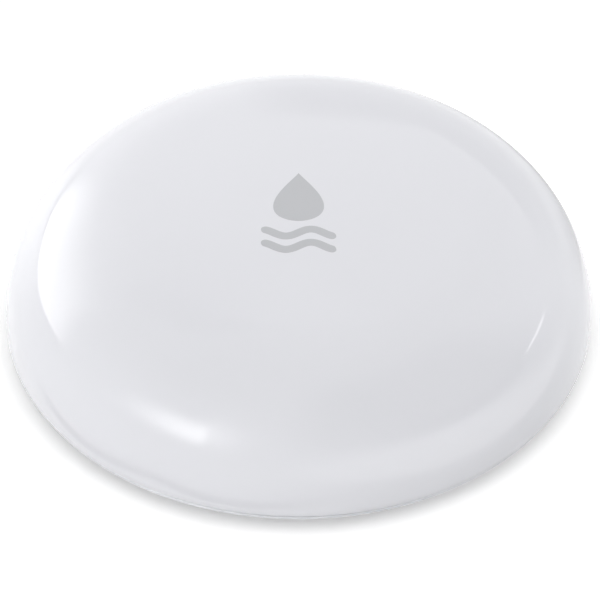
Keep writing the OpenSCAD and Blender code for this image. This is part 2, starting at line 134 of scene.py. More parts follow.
# skin groups: a vector and some values go in, and tone, roughness and height come out
noiseMiddle = 0.5
streakStretch = (0.06, 1.0, 1.0)  # metal streaks run along X


def newSkin(name, inputs):
    g = bpy.data.node_groups.new(name, "ShaderNodeTree")
    g.interface.new_socket("Vector", in_out="INPUT", socket_type="NodeSocketVector")
    for label in inputs:
        g.interface.new_socket(label, in_out="INPUT", socket_type="NodeSocketFloat")
    for label in ("Tone", "Roughness", "Height"):
        g.interface.new_socket(label, in_out="OUTPUT", socket_type="NodeSocketFloat")
    return g, addNode(g, "NodeGroupInput", (-1000, 0)), addNode(g, "NodeGroupOutput", (600, 0))


def skinNoise(g, vector, scale, at, **values):
    n = setIn(addNode(g, "ShaderNodeTexNoise", at), **values)
    return linkIn(g, n, Vector=vector, Scale=scale).outputs["Fac"]


# effect shared by the plastics, rubber and ink: slow drift of tone, gloss patches and a fine surface texture
def makeMouldedSkin():
    g, gin, gout = newSkin("mouldedSkin", ("Drift Scale", "Drift", "Texture Scale", "Gloss", "Gloss Spread"))
    value = gin.outputs
    slow = skinNoise(g, value["Vector"], value["Drift Scale"], (-600, 250), Detail=2.0, Roughness=0.5)
    fine = skinNoise(g, value["Vector"], value["Texture Scale"], (-600, -150), Detail=3.0, Roughness=0.6)
    swing = mathStep(g, "SUBTRACT", slow, noiseMiddle, at=(-400, 250))
    grit = mathStep(g, "SUBTRACT", fine, noiseMiddle, at=(-400, -50))
    tone = mathStep(g, "MULTIPLY_ADD", swing, value["Drift"], 1.0, at=(-200, 250))  # 1 plus the drift
    both = mathStep(g, "ADD", swing, grit, at=(-200, 50))
    rough = mathStep(g, "MULTIPLY_ADD", both, value["Gloss Spread"], value["Gloss"], at=(0, 50))
    linkIn(g, gout, Tone=tone, Roughness=rough, Height=fine)
    return g


# effect shared by the metals: streaks drawn out along one axis, with patches of duller surface
def makeMetalSkin():
    g, gin, gout = newSkin("metalSkin", ("Streak Scale", "Patch Scale", "Gloss", "Gloss Spread", "Tarnish"))
    value = gin.outputs
    stretch = setIn(addNode(g, "ShaderNodeMapping", (-800, 150)), Scale=streakStretch)
    drawn = linkIn(g, stretch, Vector=value["Vector"]).outputs["Vector"]
    streak = skinNoise(g, drawn, value["Streak Scale"], (-600, 150), Detail=2.0, Roughness=0.6)
    patch = skinNoise(g, value["Vector"], value["Patch Scale"], (-600, -150), Detail=4.0, Roughness=0.6)
    line = mathStep(g, "SUBTRACT", streak, noiseMiddle, at=(-400, 150))
    dull = mathStep(g, "SUBTRACT", patch, noiseMiddle, at=(-400, -150))
    both = mathStep(g, "ADD", line, dull, at=(-200, 0))
    tone = mathStep(g, "MULTIPLY_ADD", dull, value["Tarnish"], 1.0, at=(0, 150))  # 1 plus the tarnish
    rough = mathStep(g, "MULTIPLY_ADD", both, value["Gloss Spread"], value["Gloss"], at=(0, -50))
    linkIn(g, gout, Tone=tone, Roughness=rough, Height=streak)
    return g


mouldedSkin = makeMouldedSkin()
metalSkin = makeMetalSkin()


def newMaterial(name, colour):
    m = bpy.data.materials.new(name)
    m.use_nodes = True
    m.diffuse_color = (*colour, 1)
    tree = m.node_tree
    coords = addNode(tree, "ShaderNodeTexCoord", (-1100, 0))
    return m, tree, tree.nodes["Principled BSDF"], coords.outputs["Object"]


def addSkin(tree, group, coords, **values):
    skin = setIn(addNode(tree, "ShaderNodeGroup", (-700, 0), node_tree=group), **values)
    return linkIn(tree, skin, Vector=coords).outputs


def tint(tree, colour, tone, at=(-300, 200)):  # colour times a tone that changes over the surface
    n = addNode(tree, "ShaderNodeVectorMath", at, operation="SCALE")
    n.inputs[0].default_value = colour
    return linkIn(tree, n, Scale=tone).outputs[0]


def bumpOn(tree, shader, height, depth, strength=1.0):  # depth in micrometres
    b = setIn(addNode(tree, "ShaderNodeBump", (-300, -300)), Strength=strength, Distance=depth * micron)
    linkIn(tree, b, Height=height)
    linkIn(tree, shader, Normal=b.outputs["Normal"])


# moulded plastics, rubber and ink: colour, gloss and its spread, drift of the tone
# driftSize and grain are in millimetres, depth is in micrometres
mouldedFinishes = {
    "coverGloss": {"colour": (0.718, 0.722, 0.758), "gloss": 0.06, "spread": 0.02, "drift": 0.012,
                   "driftSize": 9, "grain": 1.1, "depth": 0.5, "ior": 1.49},
    "baseSatin": {"colour": (0.70, 0.708, 0.735), "gloss": 0.42, "spread": 0.12, "drift": 0.02,
                  "driftSize": 7, "grain": 0.16, "depth": 6, "ior": 1.49},
    "doorSatin": {"colour": (0.69, 0.698, 0.725), "gloss": 0.4, "spread": 0.12, "drift": 0.02,
                  "driftSize": 6, "grain": 0.16, "depth": 6, "ior": 1.49},
    "sealRubber": {"colour": (0.028, 0.028, 0.029), "gloss": 0.6, "spread": 0.2, "drift": 0.4,
                   "driftSize": 2, "grain": 0.12, "depth": 4, "ior": 1.52},
    "cellGrommet": {"colour": (0.045, 0.045, 0.052), "gloss": 0.45, "spread": 0.15, "drift": 0.2,
                    "driftSize": 2, "grain": 0.1, "depth": 3, "ior": 1.5},
    "chipResin": {"colour": (0.018, 0.018, 0.02), "gloss": 0.55, "spread": 0.2, "drift": 0.3,
                  "driftSize": 1.5, "grain": 0.06, "depth": 4, "ior": 1.55},
    "lampResin": {"colour": (0.82, 0.76, 0.5), "gloss": 0.25, "spread": 0.1, "drift": 0.15,
                  "driftSize": 0.4, "grain": 0.08, "depth": 1, "ior": 1.53},
    "capacitorClay": {"colour": (0.4, 0.25, 0.13), "gloss": 0.35, "spread": 0.15, "drift": 0.3,
                      "driftSize": 0.5, "grain": 0.05, "depth": 2, "ior": 1.6},
    "dotInk": {"colour": (0.1, 0.102, 0.107), "gloss": 0.5, "spread": 0.15, "drift": 0.15,
               "driftSize": 0.4, "grain": 0.06, "depth": 2, "ior": 1.5},
    "markInk": {"colour": (0.482, 0.489, 0.51), "gloss": 0.22, "spread": 0.06, "drift": 0.03,
                "driftSize": 3, "grain": 0.2, "depth": 0.6, "ior": 1.49},
}


def makeMoulded(name, s):
    m, tree, shader, coords = newMaterial(name, s["colour"])
    skin = addSkin(tree, mouldedSkin, coords, Drift_Scale=1 / (s["driftSize"] * mm), Drift=s["drift"],
                   Texture_Scale=1 / (s["grain"] * mm), Gloss=s["gloss"], Gloss_Spread=s["spread"])
    setIn(shader, IOR=s["ior"])
    linkIn(tree, shader, Base_Color=tint(tree, s["colour"], skin["Tone"]), Roughness=skin["Roughness"])
    bumpOn(tree, shader, skin["Height"], s["depth"])
    return m


# metals: colour, gloss and its spread, tarnish
# streak is a width and patch a size in millimetres, depth is in micrometres
metalFinishes = {
    "cellSteel": {"colour": (0.58, 0.585, 0.59), "gloss": 0.3, "spread": 0.14, "tarnish": 0.12,
                  "streak": 0.09, "patch": 3, "depth": 1.2},
    "contactBronze": {"colour": (0.62, 0.5, 0.3), "gloss": 0.32, "spread": 0.16, "tarnish": 0.3,
                      "streak": 0.07, "patch": 1.2, "depth": 1.0},
    "tinPlate": {"colour": (0.6, 0.605, 0.61), "gloss": 0.36, "spread": 0.2, "tarnish": 0.18,
                 "streak": 0.06, "patch": 0.7, "depth": 1.0},
    "turnedBrass": {"colour": (0.63, 0.45, 0.18), "gloss": 0.26, "spread": 0.12, "tarnish": 0.25,
                    "streak": 0.08, "patch": 1.5, "depth": 1.2},
    "etchedCopper": {"colour": (0.55, 0.26, 0.12), "gloss": 0.4, "spread": 0.2, "tarnish": 0.4,
                     "streak": 0.05, "patch": 0.8, "depth": 1.0},
}


def makeMetal(name, s):
    m, tree, shader, coords = newMaterial(name, s["colour"])
    skin = addSkin(tree, metalSkin, coords, Streak_Scale=1 / (s["streak"] * mm),
                   Patch_Scale=1 / (s["patch"] * mm), Gloss=s["gloss"], Gloss_Spread=s["spread"],
                   Tarnish=s["tarnish"])
    setIn(shader, Metallic=1.0)
    linkIn(tree, shader, Base_Color=tint(tree, s["colour"], skin["Tone"]), Roughness=skin["Roughness"])
    bumpOn(tree, shader, skin["Height"], s["depth"])
    return m


# probe heads: polished steel with turning rings round each probe's own axis, and painted shade that darkens
# the cross recess towards its floor
probeHigh = cadBox("probe_screws")[1]
probeFinish = {"colour": (0.63, 0.63, 0.635), "gloss": 0.16, "spread": 0.1, "tarnish": 0.1,
               "streaksPerMetre": 9000.0, "patchesPerMetre": 1400.0,
               "axisX": probeHigh[0] - probeHigh[1],  # the heads' outer side less their radius
               "ring": 0.055, "ringStrength": 0.35, "depth": 1.6, "rimZ": 0.61, "recessZ": 0.69,
               "recessShade": 0.75}


def makeProbeSteel(s):
    m, tree, shader, coords = newMaterial("probeSteel", s["colour"])
    axes = splitAxes(tree, coords, (-1000, 300))
    offX = mathStep(tree, "SUBTRACT", mathStep(tree, "ABSOLUTE", axes["X"]), s["axisX"] * mm)
    squareX = mathStep(tree, "MULTIPLY", offX, offX)
    squareY = mathStep(tree, "MULTIPLY", axes["Y"], axes["Y"])
    away = mathStep(tree, "SQRT", mathStep(tree, "ADD", squareX, squareY))
    line = mathStep(tree, "SINE", mathStep(tree, "MULTIPLY", away, 2 * np.pi / (s["ring"] * mm)))
    skin = addSkin(tree, metalSkin, coords, Streak_Scale=s["streaksPerMetre"],
                   Patch_Scale=s["patchesPerMetre"], Gloss=s["gloss"], Gloss_Spread=s["spread"],
                   Tarnish=s["tarnish"])
    # painted shade: the steel's tone falls from the rim of the cross recess to its floor
    shadedRecess = fadeStep(tree, axes["Z"], s["rimZ"] * mm, s["recessZ"] * mm, 1.0, 1 - s["recessShade"])
    tone = mathStep(tree, "MULTIPLY", skin["Tone"], shadedRecess)
    setIn(shader, Metallic=1.0)
    linkIn(tree, shader, Base_Color=tint(tree, s["colour"], tone), Roughness=skin["Roughness"])
    bumpOn(tree, shader, line, s["depth"], s["ringStrength"])
    return m


# circuit board: green mask over copper runs on a staggered grid, with a bare laminate edge
boardLow, boardHigh = cadBox("circuit_board")
boardFinish = {"mask": (0.012, 0.1, 0.04), "maskShade": 0.8, "run": (0.03, 0.17, 0.07),
               "edge": (0.33, 0.3, 0.17), "edgeInset": 0.04, "topZ": boardHigh[2], "underZ": boardLow[2],
               "cell": 1.3, "cellStretch": 2.2, "runWidth": 0.11, "runSoft": 0.3, "runStrength": 0.6,
               "depth": 20, "gloss": 0.28, "spread": 0.12, "driftsPerMetre": 300.0, "grainsPerMetre": 6000.0}
mixColour = {"share": 0, "first": 6, "second": 7, "result": 2}  # places of a Mix node's colour sockets


def makeBoardGreen(s):
    m, tree, shader, coords = newMaterial("boardGreen", s["mask"])
    shaded = [s["maskShade"] * c for c in s["mask"]]
    runs = addNode(tree, "ShaderNodeTexBrick", (-800, 200), offset=0.5, squash=1.7, squash_frequency=3)
    setIn(runs, Color1=(*s["mask"], 1), Color2=(*shaded, 1), Mortar=(*s["run"], 1), Scale=1 / mm,
          Mortar_Size=s["runWidth"], Mortar_Smooth=s["runSoft"], Brick_Width=s["cellStretch"] * s["cell"],
          Row_Height=s["cell"])
    linkIn(tree, runs, Vector=coords)
    middle = (s["topZ"] + s["underZ"]) / 2 * mm
    half = (s["topZ"] - s["underZ"]) / 2 * mm
    height = splitAxes(tree, coords, (-800, -200))["Z"]
    off = mathStep(tree, "ABSOLUTE", mathStep(tree, "SUBTRACT", height, middle))
    bare = mathStep(tree, "LESS_THAN", off, half - s["edgeInset"] * mm)  # between the two faces
    mix = addNode(tree, "ShaderNodeMix", (-300, 200), data_type="RGBA")
    tree.links.new(bare, mix.inputs[mixColour["share"]])
    tree.links.new(runs.outputs["Color"], mix.inputs[mixColour["first"]])
    mix.inputs[mixColour["second"]].default_value = (*s["edge"], 1)
    skin = addSkin(tree, mouldedSkin, coords, Drift_Scale=s["driftsPerMetre"],
                   Texture_Scale=s["grainsPerMetre"], Gloss=s["gloss"], Gloss_Spread=s["spread"])
    linkIn(tree, shader, Base_Color=mix.outputs[mixColour["result"]], Roughness=skin["Roughness"])
    bumpOn(tree, shader, runs.outputs["Fac"], s["depth"], s["runStrength"])
    return m


finishes = {name: makeMoulded(name, s) for name, s in mouldedFinishes.items()}
finishes.update({name: makeMetal(name, s) for name, s in metalFinishes.items()})
finishes["probeSteel"] = makeProbeSteel(probeFinish)
finishes["boardGreen"] = makeBoardGreen(boardFinish)
print("finishes made:", len(finishes))

# finish of each CAD node, also of the two that a new piece stands for
nodeFinishes = {
    "top_cover": "coverGloss", "base_shell": "baseSatin", "battery_door": "doorSatin",
    "cover_o_ring": "sealRubber", "door_o_ring": "sealRubber", "probe_seals": "sealRubber",
    "coin_cell_can": "cellSteel", "coin_cell_lid": "cellSteel", "coin_cell_grommet": "cellGrommet",
    "negative_contact": "contactBronze", "positive_contact": "contactBronze",
    "switch_snap_dome": "contactBronze", "circuit_board": "boardGreen",
    "switch_housing": "chipResin", "switch_plunger": "chipResin",
    "radio_chip": "chipResin", "memory_chip": "chipResin", "resistors": "chipResin",
    "switch_cover_plate": "tinPlate", "switch_terminals": "tinPlate", "crystal": "tinPlate",
    "board_screws": "tinPlate", "status_led": "lampResin", "capacitors": "capacitorClay",
    "antenna_trace": "etchedCopper", "probe_screws": "probeSteel", "probe_standoffs": "turnedBrass",
}
for nodeName, finish in nodeFinishes.items():
    for place in nodes[nodeName].material_slots:
        place.material = finishes[finish]
print("CAD nodes dressed:", len(nodeFinishes))


# mesh helpers: grids of points become quads, and the two poles of a closed grid come after its rows
def gridQuads(rows, cols, closed=False):  # columns always join up, and rows do where closed
    i = np.arange(rows if closed else rows - 1)[:, None]
    j = np.arange(cols)[None, :]
    h, k = (i + 1) % rows, (j + 1) % cols
    return np.stack([i * cols + j, i * cols + k, h * cols + k, h * cols + j], -1).reshape(-1, 4)


def closedGrid(rows, cols):  # quads between the rows, and a fan of triangles from each end row to its pole
    j = np.arange(cols)
    k = (j + 1) % cols
    count = rows * cols
    startFan = np.stack([np.full(cols, count), k, j], -1)
    endFan = np.stack([np.full(cols, count + 1), count - cols + j, count - cols + k], -1)
    return [gridQuads(rows, cols)[:, ::-1], np.vstack([startFan, endFan])]


def turnedGrid(r, z, steps):  # x = r cos a and y = r sin a, for a once round at each point of the profile
    a = np.linspace(0, 2 * np.pi, steps, endpoint=False)
    grid = np.stack([r[:, None] * np.cos(a), r[:, None] * np.sin(a), np.repeat(z[:, None], steps, 1)], -1)
    return grid.reshape(-1, 3)


def turnedSurface(r, z, steps):  # profile (r, z) carried round the axis, with a pole at each end
    poles = [[0, 0, z[0]], [0, 0, z[-1]]]
    return np.vstack([turnedGrid(r[1:-1], z[1:-1], steps), poles]), closedGrid(len(r) - 2, steps)


def meshPiece(name, points, faces, finish, body, sharp=40):  # edges past the angle stay crisp
    mesh = bpy.data.meshes.new(name)
    mesh.from_pydata((points * mm).tolist(), [], [f for block in faces for f in block.tolist()])
    mesh.validate()
    mesh.shade_smooth()
    mesh.set_sharp_from_angle(angle=np.radians(sharp))
    mesh.materials.append(finishes[finish])
    piece = addObject(name, mesh)
    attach(piece, body)
    return piece


# domed cover: a shallow crown arc, a round shoulder to the widest line and a round lower edge, hollow inside
coverLow, coverHigh = cadBox("top_cover")
inkRoom = 0.014  # the crown lies this far under the CAD crown, so that the ink on it stays in the CAD box
cover = {"r": coverHigh[0], "top": coverHigh[2] - inkRoom, "seam": coverLow[2], "crown": 130.0, "edgeR": 2.2,
         "wideZ": 2.7, "wall": 1.4, "soft": 0.1, "lipR": 24.4, "lipTop": 3.1, "boreR": 22.5, "postR": 2.0,
         "postZ": 11.72, "hookAngles": (90, 210, 330), "hookIn": 19.6, "hookOut": 20.6, "barb": 1.2,
         "hookW": 4.0, "hookZ": 5.05, "barbTop": 5.65, "barbLead": 0.4, "steps": 256,
         "arcPoints": {"crown": 48, "shoulder": 88, "edge": 14, "corner": 8, "lip": 6, "inShoulder": 18,
                       "inCrown": 14}}
cover["crownZ"] = cover["top"] - cover["crown"]
cover["shoulder"] = ((cover["crown"] ** 2 - cover["r"] ** 2 - (cover["wideZ"] - cover["crownZ"]) ** 2)
                     / (2 * (cover["crown"] - cover["r"])))
cover["midR"] = cover["r"] - cover["shoulder"]
cover["meet"] = np.arctan2(cover["midR"], cover["wideZ"] - cover["crownZ"])


def domeZ(r, inset=0.0):  # height of the dome at radius r: crown arc inside, shoulder arc outside
    c = cover
    crown = c["crownZ"] + np.sqrt(np.maximum((c["crown"] - inset) ** 2 - r ** 2, 0))
    shoulder = c["wideZ"] + np.sqrt(np.maximum((c["shoulder"] - inset) ** 2 - (r - c["midR"]) ** 2, 0))
    return np.where(r <= (c["crown"] - inset) * np.sin(c["meet"]), crown, shoulder)


def arc(midR, midZ, radius, start, end, count):  # points of an arc, angles from the vertical
    a = np.linspace(start, end, count)
    return np.stack([midR + radius * np.sin(a), midZ + radius * np.cos(a)], -1)


def coverProfile(c):  # crown, shoulder and edge arcs, then the rounded lip, the bore, inner arcs and the post
    n = c["arcPoints"]
    quarter = np.pi / 2
    inner = c["crown"] - c["wall"]
    innerS = c["shoulder"] - c["wall"]
    boreAngle = np.arcsin((c["boreR"] - c["midR"]) / innerS)
    boreTop = c["wideZ"] + innerS * np.cos(boreAngle)
    soft = c["soft"]  # small rounds at both corners of the lip
    edgeX = c["r"] - c["edgeR"]
    cornerZ = c["seam"] + soft
    cornerR = edgeX + np.sqrt((c["edgeR"] - soft) ** 2 - (c["wideZ"] - cornerZ) ** 2)
    cornerAngle = quarter + np.arctan2(c["wideZ"] - cornerZ, cornerR - edgeX)
    parts = [
        arc(0, c["crownZ"], c["crown"], 0, c["meet"], n["crown"]),
        arc(c["midR"], c["wideZ"], c["shoulder"], c["meet"], quarter, n["shoulder"])[1:],
        arc(edgeX, c["wideZ"], c["edgeR"], quarter, cornerAngle, n["edge"])[1:],
        arc(cornerR, cornerZ, soft, cornerAngle, 2 * quarter, n["corner"])[1:],
        arc(c["lipR"] + soft, cornerZ, soft, 2 * quarter, 3 * quarter, n["lip"]),
        np.array([[c["lipR"], c["lipTop"]], [c["boreR"], c["lipTop"]], [c["boreR"], boreTop]]),
        arc(c["midR"], c["wideZ"], innerS, boreAngle, c["meet"], n["inShoulder"])[1:],
        arc(0, c["crownZ"], inner, c["meet"], np.arcsin(c["postR"] / inner), n["inCrown"])[1:],
        np.array([[c["postR"], c["postZ"]], [0.0, c["postZ"]]]),
    ]
    return np.vstack(parts)


def snapHooks(c):  # each hook is its side outline carried across its width, then turned to its angle
    low, top, lead = c["hookZ"], c["barbTop"], c["barbLead"]
    a, b = c["hookIn"], c["hookOut"]
    tip = b + c["barb"]
    inside = c["wall"] / 2  # the root ends in the middle of the dome's wall
    outline = np.array([[a, low], [b, low], [tip, low + lead], [tip, top], [b, top],
                        [b, domeZ(b, inside)], [a, domeZ(a, inside)]])
    n = len(outline)
    out = np.tile(outline[:, 0], 2)
    side = np.repeat([-c["hookW"] / 2, c["hookW"] / 2], n)
    turn = np.radians(np.array(c["hookAngles"]))[:, None]
    x = out * np.cos(turn) - side * np.sin(turn)
    y = out * np.sin(turn) + side * np.cos(turn)
    z = np.tile(outline[:, 1], 2) + 0 * turn
    start = (np.arange(len(turn)) * 2 * n)[:, None]
    sides = (gridQuads(2, n)[None] + start[:, :, None]).reshape(-1, 4)
    caps = np.vstack([np.arange(n)[None, ::-1] + start, np.arange(n, 2 * n)[None] + start])
    return np.stack([x, y, z], -1).reshape(-1, 3), sides[:, ::-1], caps[:, ::-1]


profile = coverProfile(cover)
domePoints, domeFaces = turnedSurface(profile[:, 0], profile[:, 1], cover["steps"])
hookPoints, hookSides, hookCaps = snapHooks(cover)
shift = len(domePoints)
domeCover = meshPiece("domedCover", np.vstack([domePoints, hookPoints]),
                      [*domeFaces, hookSides + shift, hookCaps + shift],
                      "coverGloss", "cover")
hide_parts("top_cover")
print("domed cover:", len(domeCover.data.polygons), "faces")


# snap dome of the switch: a thin cap of a sphere
snapLow, snapHigh = cadBox("switch_snap_dome")
snapRoom = 0.005  # the cap stays this far under the plunger
snap = {"r": snapHigh[0], "lowZ": snapLow[2], "rise": snapHigh[2] - snapLow[2] - snapRoom, "thick": 0.12,
        "steps": 96, "outerPoints": 28, "innerPoints": 24, "press": 0.3}


def snapProfile(s):  # outer arc down to the rim, then the inner arc back up to the axis
    ball = (s["r"] ** 2 + s["rise"] ** 2) / (2 * s["rise"])
    midZ = s["lowZ"] + s["rise"] - ball
    inner = ball - s["thick"]
    outerEnd = np.arccos((s["lowZ"] - midZ) / ball)
    innerEnd = np.arccos((s["lowZ"] - midZ) / inner)
    return np.vstack([arc(0, midZ, ball, 0, outerEnd, s["outerPoints"]),
                      arc(0, midZ, inner, innerEnd, 0, s["innerPoints"])])


snapLine = snapProfile(snap)
snapPoints, snapFaces = turnedSurface(snapLine[:, 0], snapLine[:, 1], snap["steps"])
snapDome = meshPiece("snapDome", snapPoints, snapFaces, "contactBronze", "base")
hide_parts("switch_snap_dome")
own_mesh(snapDome)
print("snap dome:", len(snapDome.data.polygons), "faces")


# printed sign: a drop above two waves, as a thin film of ink that follows the dome
sign = {"midY": -2.0, "lift": 0.012, "sink": 0.03, "dropTop": 4.9, "dropLow": -1.3, "dropWide": 2.925,
        "dropPoint": 1.35, "dropHeart": 0.3, "dropAround": 96, "topRings": 22, "underRings": 6,
        "firstRing": 0.02, "waveHalf": 3.1, "waveStroke": 0.4, "waveSwell": 0.42, "waveTurns": 1.5,
        "waveY": (-2.75, -4.35), "waveSteps": 121, "waveTip": 1e-4,
        "waveAcross": (-1, -0.5, 0, 0.5, 1, 1, 0, -1),  # section of the film: places across the stroke
        "waveUp": (1, 1, 1, 1, 1, 0, 0, 0)}  # 1 on its upper face and 0 underneath


def onDome(x, y, h):  # points at (x, y) from the sign's middle, h above the dome
    y = y + sign["midY"]
    return np.stack([x, y, domeZ(np.hypot(x, y)) + h], -1).reshape(-1, 3)


# teardrop x = w sin t sin(t/2)^p, y along cos t, filled in rings round its heart and closed underneath
def dropFilm(s):
    t = np.linspace(0, 2 * np.pi, s["dropAround"], endpoint=False)
    half = (s["dropTop"] - s["dropLow"]) / 2
    drop = s["dropHeart"] * half  # how far the heart lies below the middle
    heart = (s["dropTop"] + s["dropLow"]) / 2 - drop
    x = s["dropWide"] * np.sin(t) * np.abs(np.sin(t / 2)) ** s["dropPoint"]
    y = half * np.cos(t) + drop
    over = np.linspace(s["firstRing"], 1, s["topRings"])
    under = np.linspace(1, s["firstRing"], s["underRings"])
    share = np.concatenate([over, under])[:, None]
    levels = np.array([s["lift"], -s["sink"]])
    h = np.repeat(levels, [s["topRings"], s["underRings"]])[:, None] + 0 * t
    rings = onDome(share * x, heart + share * y, h)
    poles = onDome(np.zeros(2), np.full(2, heart), levels)
    return np.vstack([rings, poles]), closedGrid(len(share), len(t))


def waveFilm(s, atY):  # a sine line given a width that rounds off to nothing at both ends
    u = np.sin(np.linspace(-0.5, 0.5, s["waveSteps"]) * np.pi)  # closer steps near the ends
    x = u * s["waveHalf"]
    angle = u * s["waveTurns"] * np.pi
    y = atY + s["waveSwell"] * np.sin(angle)
    slope = (s["waveSwell"] * s["waveTurns"] * np.pi / s["waveHalf"] * np.cos(angle))[:, None]
    past = np.clip((np.abs(x) - s["waveHalf"] + s["waveStroke"]) / s["waveStroke"], 0, 1)
    half = s["waveStroke"] * np.sqrt(1 - past ** 2) + s["waveTip"]
    across = np.array(s["waveAcross"]) * half[:, None]
    h = np.array(s["waveUp"]) * (s["lift"] + s["sink"]) - s["sink"] + 0 * across
    lean = 1 / np.sqrt(1 + slope ** 2)
    points = onDome(x[:, None] - across * slope * lean, y[:, None] + across * lean, h)
    rows, cols = across.shape
    caps = np.stack([np.arange(cols)[::-1], (rows - 1) * cols + np.arange(cols)])
    return points, [gridQuads(rows, cols), caps]


for name, (points, faces) in {"signDrop": dropFilm(sign), "signWaveUpper": waveFilm(sign, sign["waveY"][0]),
                              "signWaveLower": waveFilm(sign, sign["waveY"][1])}.items():
    meshPiece(name, points, faces, "markInk", "cover")
print("sign printed")


# door dots: ink in the small recesses of the underside
# the door's dot meets a dot on the base when the door is shut, and a ring when it is open
dots = {"r": 0.44, "hole": 0.24, "low": 0.665, "top": 0.71, "steps": 48, "doorR": 12.35, "baseR": 15.35,
        "shut": 250, "open": 208}


def dotFilm(s, atR, angle, hole=0.0):  # disc or ring turned about its own axis, then moved to its recess
    r = np.array([hole, s["r"], s["r"], hole])
    z = np.array([s["top"], s["top"], s["low"], s["low"]])
    if hole:
        points = turnedGrid(r, z, s["steps"])
        faces = [gridQuads(len(r), s["steps"], closed=True)[:, ::-1]]
    else:
        points, faces = turnedSurface(r, z, s["steps"])
    turn = np.radians(angle)
    return points + np.array([atR * np.cos(turn), atR * np.sin(turn), 0]), faces


for name, body, slotName, (points, faces) in (
        ("doorDot", "door", "door_white", dotFilm(dots, dots["doorR"], dots["shut"])),
        ("shutDot", "base", "base_white", dotFilm(dots, dots["baseR"], dots["shut"])),
        ("openRing", "base", "base_white", dotFilm(dots, dots["baseR"], dots["open"], dots["hole"]))):
    meshPiece(name, points, faces, "dotInk", body)
print("door dots printed")


# white studio: pale floor, white surroundings and soft light, with lengths in metres apart from floorZ
studio = {"sky": 0.05, "seen": 1.0, "floorColour": 0.82, "floorHelp": 0.36, "bounce": 0.1, "floorZ": -0.02,
          "floorSide": 3.0, "cardReach": 0.7, "cardFade": 0.325, "lampReach": 0.9, "lampSize": 0.6}


def seenRays(tree, path):  # rays that show the room: straight from the camera, mirrored or let through
    bounced = mathStep(tree, "MAXIMUM", path["Is Glossy Ray"], path["Is Transmission Ray"])
    return mathStep(tree, "MAXIMUM", path["Is Camera Ray"], bounced)


def makeWorld(s):
    world = bpy.data.worlds.new("whiteRoom")
    bpy.context.scene.world = world
    world.use_nodes = True
    tree = world.node_tree
    sky = setIn(tree.nodes["Background"], Color=(1, 1, 1, 1))
    path = addNode(tree, "ShaderNodeLightPath", (-700, 0)).outputs
    level = mathStep(tree, "MULTIPLY_ADD", seenRays(tree, path), s["seen"] - s["sky"], s["sky"])
    linkIn(tree, sky, Strength=level)  # white where it is seen, and the sky level where it lights


def bareSheet(name, low, high, z, finish):  # one quad, with a material that has no shader yet
    mesh = bpy.data.meshes.new(name)
    corners = [(low[0], low[1], z), (high[0], low[1], z), (high[0], high[1], z), (low[0], high[1], z)]
    mesh.from_pydata(corners, [], [(0, 1, 2, 3)])
    m = bpy.data.materials.new(finish)
    m.use_nodes = True
    m.node_tree.nodes.remove(m.node_tree.nodes["Principled BSDF"])
    mesh.materials.append(m)
    return addObject(name, mesh), m.node_tree


def addShaders(tree, first, second, at):
    n = addNode(tree, "ShaderNodeAddShader", at)
    tree.links.new(first.outputs[0], n.inputs[0])
    tree.links.new(second.outputs[0], n.inputs[1])
    return n.outputs[0]


def makeFloor(s):  # painted on top, clear from below and to shadow rays
    side = s["floorSide"]
    floor, tree = bareSheet("studioFloor", (-side, -side), (side, side), s["floorZ"] * mm, "paleFloor")
    path = addNode(tree, "ShaderNodeLightPath", (-1000, 0)).outputs
    geo = addNode(tree, "ShaderNodeNewGeometry", (-1000, -300)).outputs
    lost = (s["bounce"] - 1) * s["floorColour"]  # less of the floor's light goes back up
    colour = mathStep(tree, "MULTIPLY_ADD", path["Is Diffuse Ray"], lost, s["floorColour"])
    whiter = mathStep(tree, "MULTIPLY", seenRays(tree, path), s["floorHelp"])
    passing = mathStep(tree, "MAXIMUM", geo["Backfacing"], path["Is Shadow Ray"])
    paint = linkIn(tree, addNode(tree, "ShaderNodeBsdfDiffuse", (-400, 200)), Color=colour)
    glow = linkIn(tree, addNode(tree, "ShaderNodeEmission", (-400, 0)), Strength=whiter)
    both = addShaders(tree, paint, glow, (-150, 100))
    clear = addNode(tree, "ShaderNodeBsdfTransparent", (-400, -200))
    mix = addNode(tree, "ShaderNodeMixShader", (100, 0))
    for place, socket in zip(mix.inputs, (passing, both, clear.outputs[0])):
        tree.links.new(socket, place)
    linkIn(tree, tree.nodes["Material Output"], Surface=mix.outputs[0])
    return floor


